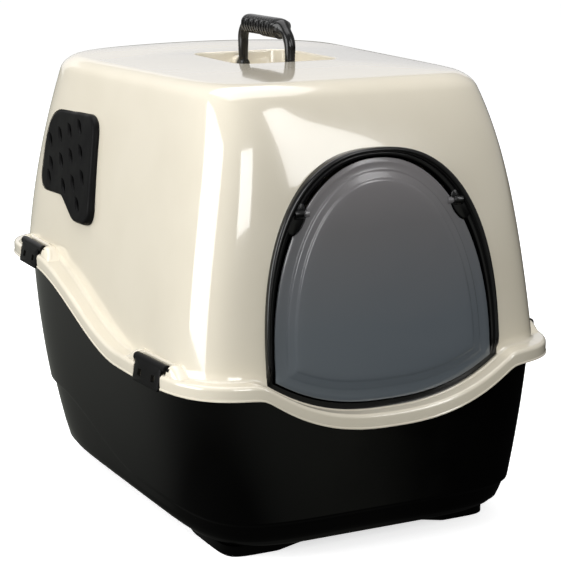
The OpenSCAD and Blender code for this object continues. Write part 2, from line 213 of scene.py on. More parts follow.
def raw(name, part):
    """Object from a part in millimetres, with its faces turned outwards."""
    mesh = bpy.data.meshes.new(name)
    mesh.from_pydata([tuple(c * MM for c in p) for p in part[0]], [], part[1])
    bm = bmesh.new()
    bm.from_mesh(mesh)
    bmesh.ops.recalc_face_normals(bm, faces=bm.faces)
    bm.to_mesh(mesh)
    bm.free()
    obj = bpy.data.objects.new(name, mesh)
    bpy.context.scene.collection.objects.link(obj)
    return obj


def boolean(obj, tool, operation):
    """Cuts the tool out of the object or joins it on, and removes the tool."""
    mod = obj.modifiers.new("cut", "BOOLEAN")
    mod.object, mod.operation, mod.solver = tool, operation, "EXACT"
    graph = bpy.context.evaluated_depsgraph_get()
    mesh = bpy.data.meshes.new_from_object(obj.evaluated_get(graph))
    obj.modifiers.clear()
    obj.data = mesh
    bpy.data.objects.remove(tool)


def add_to(obj, part):
    """Adds a part's own closed shell to an object's mesh."""
    bm = bmesh.new()
    bm.from_mesh(obj.data)
    extra = raw("extra", part)
    bm.from_mesh(extra.data)
    bpy.data.objects.remove(extra)
    bm.to_mesh(obj.data)
    bm.free()


def dress(obj, material, body, angle=38, nodes=()):
    """Shading, material and body of a finished piece; hides the CAD parts that it stands in for."""
    obj.data.shade_smooth()
    obj.data.set_sharp_from_angle(angle=math.radians(angle))
    obj.data.materials.clear()
    obj.data.materials.append(material)
    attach(obj, body)
    if nodes:
        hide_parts(*nodes)


def lathe(profile, n=48):
    """Turned part along x: profile is a list of (x, radius)."""
    rings = [[(x, r * math.cos(2 * math.pi * j / n), r * math.sin(2 * math.pi * j / n)) for j in range(n)]
             for x, r in profile]
    return loft(rings)


def rounded_rect(w, l, r, n=12):
    """Outline of a rounded rectangle about the origin."""
    pts = []
    for sx, sy, a0 in ((1, -1, -90), (1, 1, 0), (-1, 1, 90), (-1, -1, 180)):
        for i in range(n + 1):
            s, c = sincos(a0 + 90 * i / n)
            pts.append((sx * (w / 2 - r) + r * c, sy * (l / 2 - r) + r * s))
    return pts


def inset_of(outline, d):
    """Outline moved in by d along its own normals; the outline runs anticlockwise."""
    out, n = [], len(outline)
    for i, (x, y) in enumerate(outline):
        (ax, ay), (bx, by) = outline[i - 1], outline[(i + 1) % n]
        dx, dy = bx - ax, by - ay
        k = math.hypot(dx, dy) or 1
        out.append((x - d * dy / k, y + d * dx / k))
    return out


def stacked(outline, profile):
    """Rings of an outline, moved in by d at the height z, for each (d, z) of the profile."""
    return [[(x, y, z) for x, y in inset_of(outline, d)] for d, z in profile]


def shrunk(outline, cx, cy, k, z):
    """Ring at the height z of an outline scaled by k about (cx, cy)."""
    return [(cx + (x - cx) * k, cy + (y - cy) * k, z) for x, y in outline]


# ---------------------------------------------------------------- materials

def node_material(name):
    mat = bpy.data.materials.new(name)
    mat.use_nodes = True
    nodes, links = mat.node_tree.nodes, mat.node_tree.links
    return mat, nodes, links, nodes["Principled BSDF"]


def noise(nodes, links, coord, scale, detail=2.0, rough=0.5):
    n = nodes.new("ShaderNodeTexNoise")
    n.inputs["Scale"].default_value = scale
    n.inputs["Detail"].default_value = detail
    n.inputs["Roughness"].default_value = rough
    links.new(coord, n.inputs["Vector"])
    return n.outputs["Fac"]


def mapped(nodes, links, value, low, high, lo_in=0.3, hi_in=0.7):
    m = nodes.new("ShaderNodeMapRange")
    m.inputs["From Min"].default_value = lo_in
    m.inputs["From Max"].default_value = hi_in
    m.inputs["To Min"].default_value = low
    m.inputs["To Max"].default_value = high
    links.new(value, m.inputs["Value"])
    return m.outputs["Result"]


def ramp(nodes, links, value, stops):
    r = nodes.new("ShaderNodeValToRGB")
    els = r.color_ramp.elements
    while len(els) < len(stops):
        els.new(0.5)
    for e, (pos, col) in zip(els, stops):
        e.position = pos
        e.color = (*col, 1)
    links.new(value, r.inputs["Fac"])
    return r.outputs["Color"]


def bump(nodes, links, height, strength, distance, shader, below=None):
    b = nodes.new("ShaderNodeBump")
    b.inputs["Strength"].default_value = strength
    b.inputs["Distance"].default_value = distance
    links.new(height, b.inputs["Height"])
    if below is not None:
        links.new(below, b.inputs["Normal"])
    links.new(b.outputs["Normal"], shader.inputs["Normal"])
    return b.outputs["Normal"]


def plastic(name, dark, light, rough, grain=900, specular=0.5, coat=0.0, wave=0.0):
    """Moulded plastic: slow colour and gloss drift, moulding ripple and a fine grain."""
    mat, nodes, links, bsdf = node_material(name)
    coord = nodes.new("ShaderNodeTexCoord").outputs["Object"]
    slow = noise(nodes, links, coord, 9, 3)
    links.new(ramp(nodes, links, slow, ((0.35, dark), (0.65, light))), bsdf.inputs["Base Color"])
    links.new(mapped(nodes, links, noise(nodes, links, coord, 38, 4), rough * 0.8, rough * 1.3),
              bsdf.inputs["Roughness"])
    bsdf.inputs["Specular IOR Level"].default_value = specular
    bsdf.inputs["Coat Weight"].default_value = coat
    bsdf.inputs["Coat Roughness"].default_value = 0.025
    below = None
    if wave:
        below = bump(nodes, links, noise(nodes, links, coord, 14, 1), wave, 0.002, bsdf)
    bump(nodes, links, noise(nodes, links, coord, grain, 2), 0.05, 0.0002, bsdf, below)
    return mat


IVORY = plastic("ivory_plastic", (0.78, 0.72, 0.585), (0.82, 0.76, 0.625), 0.12, coat=0.9, wave=0.03)
BLACK_TRAY = plastic("tray_plastic", (0.0006, 0.0006, 0.0006), (0.0013, 0.0013, 0.0012), 0.1,
                     specular=0.5, wave=0.03)
BLACK_TRIM = plastic("trim_plastic", (0.003, 0.003, 0.003), (0.006, 0.006, 0.006), 0.2, specular=0.42)
SATIN = plastic("vent_plastic", (0.0045, 0.0045, 0.0047), (0.006, 0.006, 0.006), 0.45, grain=1400,
                specular=0.07)
LATCH = plastic("latch_plastic", (0.003, 0.003, 0.003), (0.005, 0.005, 0.005), 0.3, specular=0.12)
HOLDER = plastic("holder_plastic", (0.012, 0.012, 0.012), (0.02, 0.02, 0.02), 0.4)


def flap_material():
    """Smoke-tinted clear plastic, with painted light that makes the colour lighter towards the top."""
    mat, nodes, links, bsdf = node_material("smoke_plastic")
    tex = nodes.new("ShaderNodeTexCoord").outputs["Object"]
    split = nodes.new("ShaderNodeSeparateXYZ")
    links.new(tex, split.inputs["Vector"])
    # painted light: height lightens the colour towards the top, and drift adds it to a random tone; this
    # stands in for the overhead light on the door
    height = mapped(nodes, links, split.outputs["Z"], 0, 1, 0.13, 0.37)
    drift = nodes.new("ShaderNodeMath")
    drift.operation = "MULTIPLY_ADD"
    links.new(noise(nodes, links, tex, 7, 2), drift.inputs[0])
    drift.inputs[1].default_value = 0.16
    links.new(height, drift.inputs[2])
    links.new(ramp(nodes, links, drift.outputs[0], (
        (0.05, (0.125, 0.150, 0.175)), (0.45, (0.145, 0.165, 0.185)),
        (0.80, (0.19, 0.188, 0.194)), (1.0, (0.26, 0.245, 0.25)))), bsdf.inputs["Base Color"])
    links.new(mapped(nodes, links, noise(nodes, links, tex, 60, 3), 0.16, 0.24), bsdf.inputs["Roughness"])
    bsdf.inputs["Transmission Weight"].default_value = 0.18
    bsdf.inputs["Coat Weight"].default_value = 0.3
    bsdf.inputs["Coat Roughness"].default_value = 0.08
    bump(nodes, links, noise(nodes, links, tex, 25, 2), 0.05, 0.002, bsdf)
    return mat


SMOKE = flap_material()


def carbon_material():
    """Non-woven filter mat: matted fibres with sparse pale grains."""
    mat, nodes, links, bsdf = node_material("carbon_mat")
    coord = nodes.new("ShaderNodeTexCoord").outputs["Object"]
    fibre = noise(nodes, links, coord, 700, 6, 0.7)
    links.new(ramp(nodes, links, fibre, ((0.35, (0.012, 0.012, 0.013)), (0.7, (0.05, 0.05, 0.052)))),
              bsdf.inputs["Base Color"])
    links.new(mapped(nodes, links, fibre, 0.8, 1.0), bsdf.inputs["Roughness"])
    bsdf.inputs["Sheen Weight"].default_value = 0.2
    bump(nodes, links, fibre, 0.6, 0.001, bsdf)
    return mat


CARBON = carbon_material()

# ---------------------------------------------------------------- hood


def rear_arch(x, y):
    """Rise of the roof towards the middle of its rear edge."""
    return REAR_ARCH * ease((y - 88) / 90) * max(0.0, 1 - (x / 160) ** 2)


def hood_rings(d, fillet, foot, cove):
    """Rings of one hood skin, from the ledge up over the roof's edge."""
    rings = []
    foots = [skirt_z(hood_plan(WALL_Z0, d, t)) + foot for t in T]
    for f in (0, 22, 45, 68) if cove else ():
        s, c = sincos(f)
        rings.append([(*hood_plan(z, d - cove * (1 - s), t), z + cove * (1 - c)) for t, z in zip(T, foots)])
    for k in steps(0, 1, 36):
        levels = [z + cove + (ROOF_Z - d - fillet - z - cove) * k for z in foots]
        rings.append([(*hood_plan(z, d, t), z) for t, z in zip(T, levels)])
    for f in range(10, 91, 10):
        s, c = sincos(f)
        z = ROOF_Z - d - fillet * (1 - s)
        rings.append([(*p, z + rear_arch(*p) * s)
                      for t in T for p in [hood_plan(z, d + fillet * (1 - c), t)]])
    for s in steps(0.96, 0.08, 22):
        rings.append([(p[0] * s, p[1] * s, ROOF_Z - d + CROWN * (1 - s * s) + rear_arch(p[0] * s, p[1] * s))
                      for t in T for p in [hood_plan(ROOF_Z - d, d + fillet, t)]])
    return rings


def flange_ring(d, z):
    """Ring of the skirt, d in from the flange's edge and z over the skirt's lower edge."""
    return [(*p, skirt_z(p) + z) for t in T for p in [flange(d, t)]]


def skirt_rings():
    """Outside of the skirt, from its lower edge to the ledge."""
    rings = [flange_ring(0, 0), flange_ring(0, 1.0), flange_ring(0.55, 1.7)]
    for f in steps(0, 90, 6):
        s, c = sincos(f)
        rings.append(flange_ring(0.5 + (SKIRT_ROUND - 0.5) * (1 - c), SKIRT_H - SKIRT_ROUND * (1 - s)))
    return rings


def hood_shell():
    """Hood from the inside of its roof, down and out round the skirt, and up to the top again."""
    inner = hood_rings(WALL, INNER_FILLET, SKIRT_H - WALL, 0)[::-1]
    under = [flange_ring(WALL + SKIRT_ROUND, SKIRT_H - WALL), flange_ring(WALL, 0.4)]
    return loft(inner + under + skirt_rings() + hood_rings(0, ROOF_FILLET, SKIRT_H, 2.4))


def roof_height(x, y):
    """Roof's outer surface over (x, y)."""
    t = math.atan2(y, x)
    p = hood_plan(ROOF_Z, ROOF_FILLET, t)
    s = math.hypot(x, y) / math.hypot(*p)
    return ROOF_Z + CROWN * (1 - min(s, 1) ** 2)


def recess_outline(grow):
    """Outline of the recess from above, larger by grow all round."""
    outline = rounded_rect(RECESS_W + 2 * grow, RECESS_L + 2 * grow, RECESS_R + grow, 16)
    return [(x, y + RECESS_Y) for x, y in outline]


def over_roof(outline, dz):
    """Outline laid on the roof and raised by dz."""
    return [(x, y, roof_height(x, y) + dz) for x, y in outline]


def recess_tool():
    """Space of the recess: filleted round its floor and flared at the roof."""
    floor_r, edge_r, rings = 3.5, 2.2, []
    for f in steps(90, 0, 6):
        s, c = sincos(f)
        rings.append([(x, y, RECESS_Z + floor_r * (1 - s)) for x, y in recess_outline(-floor_r * (1 - c))])
    rings.append(over_roof(recess_outline(0), -edge_r))
    for f in (30, 60, 90):
        s, c = sincos(f)
        rings.append(over_roof(recess_outline(edge_r * (1 - c)), -edge_r + edge_r * s))
    rings.append(over_roof(recess_outline(2.6), 0.6))
    rings.append(over_roof(recess_outline(2.6), 30))
    return loft(rings)


def recess_tub():
    """Wall and floor round the recess, up to the middle of the roof's thickness."""
    g = WALL
    return loft([[(x, y, RECESS_Z - g) for x, y in recess_outline(g - 3)],
                 [(x, y, RECESS_Z - g + 3) for x, y in recess_outline(g)],
                 over_roof(recess_outline(g), -1.3)])


def in_frame(x, y, n):
    """Point in the plane of the entrance frame, n out from it."""
    v = y - WALL_Z0
    return (x, FRAME_FOOT_Y + v * math.cos(LEAN) - n * math.sin(LEAN),
            WALL_Z0 + v * math.sin(LEAN) + n * math.cos(LEAN))


def ledge_z(x):
    """Ledge height along the front at x."""
    return skirt_z((x, -FLANGE_B)) + SKIRT_H


def arch(a, top, n, foot, over=ARCH_STEPS, under=64):
    """Arch of the entrance, from its right foot up and over, and back along its foot curve."""
    pts = []
    for i in range(over + 1):
        t = math.pi * i / over
        pts.append((a * spow(math.cos(t), 2 / n), ARCH_Z0 + (top - ARCH_Z0) * abs(math.sin(t)) ** (2 / n)))
    low = ledge_z(a) + foot
    pts += [(-a, ARCH_Z0 + (low - ARCH_Z0) * k) for k in (0.33, 0.66)]
    pts += [(x, ledge_z(x) + foot) for x in steps(-a, a, under)]
    pts += [(a, low + (ARCH_Z0 - low) * k) for k in (0.33, 0.66)]
    return pts


def between(p, q, k):
    """Outline at the share k of the way from outline p to outline q."""
    return [(a[0] + (b[0] - a[0]) * k, a[1] + (b[1] - a[1]) * k) for a, b in zip(p, q)]


def frame_at(w):
    """Arch w in from the frame's outer edge towards its inner edge."""
    inner = arch(FRAME_A - FRAME_W, FRAME_TOP - FRAME_TOP_W, 2.2, SILL)
    return between(arch(FRAME_A, FRAME_TOP, 2.4, 0.8), inner, w / FRAME_W)


def arch_tool():
    """Space of the entrance frame in the hood's front wall."""
    return moved(prism(frame_at(0), -30, 30), in_frame)


def vent_outline():
    """Outline of a vent plate, anticlockwise, with its corners rounded."""
    pts, n = [], len(VENT)
    for i, (cx, cy, r) in enumerate(VENT):
        px, py = VENT[i - 1][:2]
        qx, qy = VENT[(i + 1) % n][:2]
        lu, lv = math.hypot(px - cx, py - cy), math.hypot(qx - cx, qy - cy)
        ux, uy, vx, vy = (px - cx) / lu, (py - cy) / lu, (qx - cx) / lv, (qy - cy) / lv
        back = min(r / math.tan(math.acos(ux * vx + uy * vy) / 2), 42)
        for k in range(13):
            s = k / 12
            pts.append((cx + back * (ux * (1 - s) ** 2 + vx * s * s),
                        cy + back * (uy * (1 - s) ** 2 + vy * s * s)))
    return pts[::-1]


def in_vent(side):
    """Placing in a vent's plane: x towards the rear, y up, z outwards."""
    def place(x, y, z):
        s1, c1 = sincos(1)
        a, b = z * c1 - x * s1, z * s1 + x * c1
        c2, s2 = math.cos(VENT_LEAN), math.sin(VENT_LEAN)
        return (side * (VENT_X + a * c2 - y * s2), b, VENT_MID_Z + a * s2 + y * c2)
    return place


def at_latch(sx, sy):
    """Placing at a latch's hinge axis: u outwards, v along the axis, w up."""
    y = latch_y(sy)
    turn = math.atan(side_x(y - 0.5) - side_x(y + 0.5))
    c, s = math.cos(turn), math.sin(turn)

    def place(u, v, w):
        return (sx * (side_x(y) - ROLL_IN + u * c - v * s), y + u * s + v * c,
                side_ledge_z(y) + ROLL_UP + w)
    return place


def in_plate(x, y, z):
    """Point in the plane of a latch's plate: x along the hinge axis, y up, z outwards."""
    c, s = math.cos(LATCH_LEAN), math.sin(LATCH_LEAN)
    return (1.6 + z * c - y * s, x, z * s + y * c)


def prism(outline, z0, z1):
    return loft([[(x, y, z) for x, y in outline] for z in (z0, z1)])


def notch_tool(sx, sy):
    """Space of a latch's plate in the skirt, 1 mm larger all round."""
    half, low = PLATE_W / 2 + 1, -PLATE_H - 1
    plate = moved(prism([(-half, low), (half, low), (half, 1), (-half, 1)], -1, 13), in_plate)
    return moved(plate, at_latch(sx, sy))


def fairing(sx, sy, side):
    """Swelling of the ledge that carries an end of the latch's roll and runs out into the ledge."""
    top, rings = ROLL_UP + ROLL_R + 2.0, []
    profile = ((-16, -2, 0), (-16, 0, 0.9), (-9.5, 0, 1), (-6.5, 0, 0.985), (-4.3, 0, 0.93),
               (-2.6, 0, 0.83), (-1.3, 0, 0.68), (-0.3, 0, 0.48), (0.5, -0.3, 0.27), (1.1, -0.9, 0.1),
               (1.3, -2, 0))
    for v in steps(0, 24, 24):
        y = latch_y(sy) + side * (ROLL_L / 2 + 0.6 + v)
        x, z = side_x(y), side_ledge_z(y)
        round_end = math.sqrt(max(0.0, 1 - (1 - min(v / 1.2, 1)) ** 2)) * 0.12 + 0.88
        h = top * (1 - ease((v - 2) / 22)) * round_end - 1.2
        rings.append([(sx * (x + p), y, z + dz + h * k) for p, dz, k in profile])
    return loft(rings)


def roll_rib(sx, sy):
    """Low rib of the ledge behind a latch's roll, from one fairing to the other."""
    h, rings = ROLL_UP + ROLL_R, []
    profile = ((-15, -2), (-15, h - 1.5), (-13.5, h - 0.3), (-12, h), (-10.6, h - 0.1), (-9.4, h - 0.8),
               (-9, h - 2), (-9, -2))
    for v in steps(-ROLL_L / 2 - 2, ROLL_L / 2 + 2, 16):
        y = latch_y(sy) + v
        x, z = side_x(y), side_ledge_z(y)
        rings.append([(sx * (x + p), y, z + q) for p, q in profile])
    return loft(rings)


def at_handle(x, y, z):
    """Placing of a turned part on the handle's pivot axis."""
    return (y, HANDLE_Y + x, HANDLE_Z + z)


def boss(y0, y1, r=7.0, edge=0.6):
    """Bearing for a pin of the handle, from y0 in the recess's wall to its face at y1."""
    shoulder = y1 - math.copysign(edge, y1 - y0)
    return moved(lathe([(y0, r), (shoulder, r), (y1, r - edge)]), at_handle)


def make_hood():
    """Shell with its recess and cut-outs, the fairings round the latches, and the handle's bosses."""
    hood = raw("hood_shell", hood_shell())
    boolean(hood, raw("tub", recess_tub()), "UNION")
    cuts = [recess_tool(), arch_tool()]
    cuts += [moved(prism(vent_outline(), -30, 30), in_vent(side)) for side in SIDES]
    cuts += [notch_tool(sx, sy) for sx, sy in CORNERS]
    boolean(hood, raw("cuts", merged(*cuts)), "DIFFERENCE")
    dress(hood, IVORY, "hood", 32, ("hood",))
    parts = [fairing(sx, sy, side) for sx, sy in CORNERS for side in SIDES]
    parts += [roll_rib(sx, sy) for sx, sy in CORNERS]
    fair = raw("latch_fairings", merged(*parts))
    dress(fair, IVORY, "hood", 50)
    front = HANDLE_Y - RECESS_Y + RECESS_L / 2
    rear = RECESS_Y - HANDLE_Y + RECESS_L / 2
    face = HANDLE_HALF + 0.8
    bosses = raw("handle_bosses", merged(boss(-front - 4, -face), boss(rear + 2, face)))
    dress(bosses, IVORY, "hood", 40)


# ---------------------------------------------------------------- entrance frame and flap

def lobe(side, grow):
    """Half-round swelling of the frame's inner edge at a pivot, leaning with the arch."""
    c, s, pts = math.cos(LOBE_LEAN), math.sin(LOBE_LEAN), []
    for a in steps(0, 2 * math.pi, 60)[:-1]:
        x, y = (7.6 + grow) * math.cos(a), (15 + grow) * math.sin(a)
        pts.append((side * (LUG_X + 7.2 + x * c - y * s), PIVOT_Z - 4 + x * s + y * c))
    return pts if side > 0 else pts[::-1]


def at_pivot(x, y, z):
    """Placing of a turned part on the flap's pivot axis."""
    return in_frame(x, PIVOT_Z + z, y)


def make_frame():
    """Frame ring with a glossy bead round its outside and a sunk band inside it."""
    profile = [(-0.3, -7), (-0.3, 1.6)]
    for f in steps(180, 0, 8):
        s, c = sincos(f)
        profile.append((1.75 + 2.05 * c, 2.3 + 2.7 * s))
    profile += [(3.85, 1.2), (4.1, 0.8), (4.5, 1.0), (6.1, 0.7), (6.4, 0.4), (FRAME_W, 0.0), (FRAME_W, -7)]
    rings = []
    for w, n in profile:
        ring = []
        for i, (x, y) in enumerate(frame_at(w)):
            low = ease((ARCH_Z0 - 3 - y) / 14) if i > ARCH_STEPS or y < ARCH_Z0 else 0.0
            ring.append((x, y, n if n < -5 else n * (1 - low) - 3.4 * low))
        rings.append(ring)
    ring = moved(loft(rings + [rings[0]], caps=False), in_frame)
    lugs = []
    for side in SIDES:
        lug = ((0, 3.5), (0, 0.8), (0.3, 0.25), (0.9, 0), (9, 0))
        lugs.append(moved(lathe([(side * (LUG_X + dx), LUG_R - dr) for dx, dr in lug]), at_pivot))
        swelling = stacked(lobe(side, 0), ((0.4, -2.4), (0, -2), (0, 0.9), (0.3, 1.3), (1.0, 1.5)))
        lugs.append(moved(loft(swelling), in_frame))
    obj = raw("entrance_frame_ring", merged(ring, *lugs))
    dress(obj, BLACK_TRIM, "hood", 40, ("entrance_frame",))


def flap_ring(inset):
    """Edge of the flap, moved in by inset."""
    d = inset + FLAP_GAP
    return arch(FRAME_A - FRAME_W - d, FRAME_TOP - FRAME_TOP_W - d, 2.1, SILL + d)


def make_flap():
    """Smoke door: thin flange, a rim band and a raised panel, which fade out towards the foot."""
    def low(x):
        return ledge_z(x) + SILL + FLAP_GAP

    front = [(0.0, -1.6), (0.0, 0.1), (0.4, 0.4), (5.0, 0.45), (10.2, 0.5), (10.9, 0.7), (11.4, 1.5),
             (12.0, 2.0), (13.0, 2.25), (17.5, 2.5), (18.4, 2.7), (19.0, 3.3), (19.8, 3.7), (21.0, 3.85),
             (26.0, 4.0)]
    rings = []
    for d, n in front:
        soft = 0.45 + 3.55 * ease((d - 3) / 24)
        rings.append([(x, y, n + (soft - n) * (1 - ease((y - low(x) - 6) / 30)) if n > 0.42 else n)
                      for x, y in flap_ring(d)])
    inner, cx, cy = flap_ring(26), 0.0, 262.0
    fade = [0.8, 0.6, 0.4, 0.22, 0.08]
    rings += [shrunk(inner, cx, cy, k, 4.0) for k in fade]
    back = [shrunk(inner, cx, cy, k, 1.9) for k in fade[::-1]]
    back += [[(x, y, n) for x, y in flap_ring(d)] for d, n in
             ((26, 1.9), (21.5, 1.7), (20.4, 0.6), (13.5, 0.2), (12.6, -1.6), (11, -2.0), (0.6, -2.0))]
    flap = raw("flap_panel", moved(loft(back + rings), in_frame))
    for side in SIDES:
        round_lug = lathe([(side * (LUG_X - 0.8), LUG_R + 1), (side * FRAME_A, LUG_R + 1)])
        for tool in (moved(round_lug, at_pivot), moved(prism(lobe(side, 1.4), -12, 12), in_frame)):
            boolean(flap, raw("lug_space", tool), "DIFFERENCE")
    pin = ((-6, -0.6), (-5.5, 0.8), (-1.5, 0.8), (-1.2, 0), (6.2, 0), (6.5, -0.4))
    pins = [lathe([(side * (LUG_X + dx), PIVOT_R + dr) for dx, dr in pin], 32) for side in SIDES]
    add_to(flap, merged(*(moved(mesh, at_pivot) for mesh in pins)))
    dress(flap, SMOKE, "flap", 50, ("flap_door",))


# ---------------------------------------------------------------- carry handle

def handle_path():
    """Middle line of the handle from its front foot to its rear foot, in (y, z) about its pivot."""
    leg, foot, bend_z = HANDLE_HALF - 4.5, -2, 24
    pts = [(-leg, z) for z in steps(foot, bend_z, 13)]
    for f in steps(0, 90, 22)[1:]:
        s, c = sincos(f)
        pts.append((-leg + FRONT_BEND * (1 - c), bend_z + (HANDLE_TOP - bend_z) * s))
    pts += [(y, HANDLE_TOP) for y in steps(-leg + FRONT_BEND, leg - REAR_BEND, 190)[1:]]
    for f in steps(0, 90, 18)[1:]:
        s, c = sincos(f)
        pts.append((leg - REAR_BEND + REAR_BEND * s, HANDLE_TOP - REAR_BEND * (1 - c)))
    pts += [(leg, z) for z in steps(HANDLE_TOP - REAR_BEND, foot, 13)[1:]]
    return pts


def make_handle():
    """Bow with a smooth spine over the grip and fine ribs round its sides and underside."""
    pts, rings, n = handle_path(), [], 40
    for i, (y, z) in enumerate(pts):
        (ay, az), (by, bz) = pts[max(i - 1, 0)], pts[min(i + 1, len(pts) - 1)]
        k = math.hypot(by - ay, bz - az)
        ny, nz = -(bz - az) / k, (by - ay) / k
        grip = ease((z - 31) / 11) * ease((47 - abs(y - 1)) / 11)
        rise = max(0.0, min(1.0, z / 30))
        front = 1.0 if y < 0 else 0.55
        rx = 4.6 + 0.8 * rise + 3.7 * grip
        up = 4.5 + 0.5 * rise + 3.5 * grip
        down = 4.5 + (0.5 + 1.3 * front) * rise + (3.4 + 0.8 * front) * grip
        rib = ease((38 - abs(y - 0.5)) / 2) * ease((z - 39) * 2)
        rib *= ease((0.62 + math.cos(2 * math.pi * (y - 0.5 + GRIP_L / 2) * RIBS / GRIP_L + math.pi)) / 0.5)
        ring = []
        for j in range(n):
            a = 2 * math.pi * j / n
            c, s = math.cos(a), math.sin(a)
            out = 1 + (0.24 * rib - 0.14) * ease((0.8 - s) / 0.2) * grip
            h = (up if s > 0 else down) * spow(s, 0.94) * (out if s < 0 else 1)
            ring.append((rx * spow(c, 0.94) * out, HANDLE_Y + y + ny * h, HANDLE_Z + z + nz * h))
        rings.append(ring)
    feet = []
    for side in SIDES:
        y0, y1 = side * (HANDLE_HALF - 9), side * HANDLE_HALF
        foot = lathe([(y0, 4.9), (y0 + side * 0.5, 5.5), (y1 - side * 0.5, 5.5), (y1, 4.9), (y1, PIVOT_R),
                      (y1 + side * 4.6, PIVOT_R), (y1 + side * 5, PIVOT_R - 0.4)], 40)
        feet.append(moved(foot, at_handle))
    obj = raw("handle_bow", merged(loft(rings), *feet))
    dress(obj, BLACK_TRIM, "handle", 48, ("carry_handle",))


# ---------------------------------------------------------------- latches

def make_latch(name, sx, sy):
    """Hinge roll with a plate that hangs from it, pierced by two square windows."""
    half, r, low = PLATE_W / 2, 2, -PLATE_H + 2
    outline = [(-half, 1), (-half, 0), (-half, low)]
    outline += [(-half + r - r * c, low - r * s) for s, c in map(sincos, steps(0, 90, 6)[1:])]
    outline += [(half - r + r * s, low - r * c) for s, c in map(sincos, steps(0, 90, 6))]
    outline += [(half, 0), (half, 1)]
    rings = stacked(outline, ((0.5, 0), (0, 0.4), (0, 1.9), (0.25, 2.4), (0.8, 2.6)))
    plate = raw(name + "_piece", moved(moved(loft(rings), in_plate), at_latch(sx, sy)))
    windows = []
    for v in (-WINDOW_Y, WINDOW_Y):
        hole = [(x + v, y - PLATE_H + WINDOW_UP) for x, y in rounded_rect(6.5, 6, 0.8, 4)]
        windows.append(moved(moved(prism(hole, -2, 6), in_plate), at_latch(sx, sy)))
    boolean(plate, raw("windows", merged(*windows)), "DIFFERENCE")
    r, half = ROLL_R, ROLL_L / 2
    end = [(half - 0.6, r), (half, r - 0.6), (half, 1.8), (half + 3.7, 1.8), (half + 4, 1.4)]
    roll = lathe([(-x, q) for x, q in end[::-1]] + end, 40)
    add_to(plate, moved(moved(roll, lambda x, y, z: (y, x, z)), at_latch(sx, sy)))
    dress(plate, LATCH, name + "_body", 40, (name,))


# ---------------------------------------------------------------- vents and filters

def leaf(cx, cy, length, width, n=14):
    """Outline of a pointed leaf that leans to the rear at the top."""
    r = (length * length / 4 + width * width / 4) / width
    half = math.asin(length / 2 / r)
    pts = [(r * math.cos(a) - (r - width / 2), r * math.sin(a)) for a in steps(-half, half, n)]
    pts += [(-x, -y) for x, y in pts[1:-1]]
    c, s = math.cos(SLOT_TILT), math.sin(SLOT_TILT)
    return [(cx + x * c - y * s, cy + x * s + y * c) for x, y in pts]


def make_grille(name, side):
    """Raised plate with a rolled edge and leaf-shaped slots."""
    outline = vent_outline()
    profile = [(5, 1.8), (5, -5), (0, -5), (-0.3, 0.0), (-0.3, 1.2)]
    profile += [(3.4 * (1 - c), 1.2 + 3.3 * s) for s, c in map(sincos, steps(0, 90, 7)[1:])]
    profile += [(6.5, 4.5)]
    grille = raw(name + "_plate", moved(loft(stacked(outline, profile)), in_vent(side)))
    tools = []
    for cx, cy in SLOTS:
        rings = [[(x, y, z) for x, y in leaf(cx, cy, l, w)] for l, w, z in SLOT_LEVELS]
        tools.append(moved(loft(rings), in_vent(side)))
    boolean(grille, raw("slots", merged(*tools)), "DIFFERENCE")
    dress(grille, SATIN, "hood", 35, (name,))


def make_filter(name, side):
    """Carbon mat: a soft pad with rounded edges, slightly crowned between its clips."""
    outline = inset_of(vent_outline(), 8.3)
    cx = sum(p[0] for p in outline) / len(outline)
    cy = sum(p[1] for p in outline) / len(outline)
    low_z, top_z, fade = -12, -6.05, (0.85, 0.65, 0.4, 0.2, 0.05)
    rings = stacked(outline, ((4, low_z), (1.2, -11.6), (0.2, -10.6), (0, -9.2), (0.2, -7.6), (1.2, -6.5),
                              (4, top_z)))
    face = inset_of(outline, 4)
    rings += [shrunk(face, cx, cy, k, top_z + 0.5 * (1 - k * k)) for k in fade]
    under = [shrunk(face, cx, cy, k, low_z - 0.4 * (1 - k * k)) for k in fade[::-1]]
    pad = raw(name + "_mat", moved(loft(under + rings), in_vent(side)))
    dress(pad, CARBON, "hood", 60, (name,))


# ---------------------------------------------------------------- tray

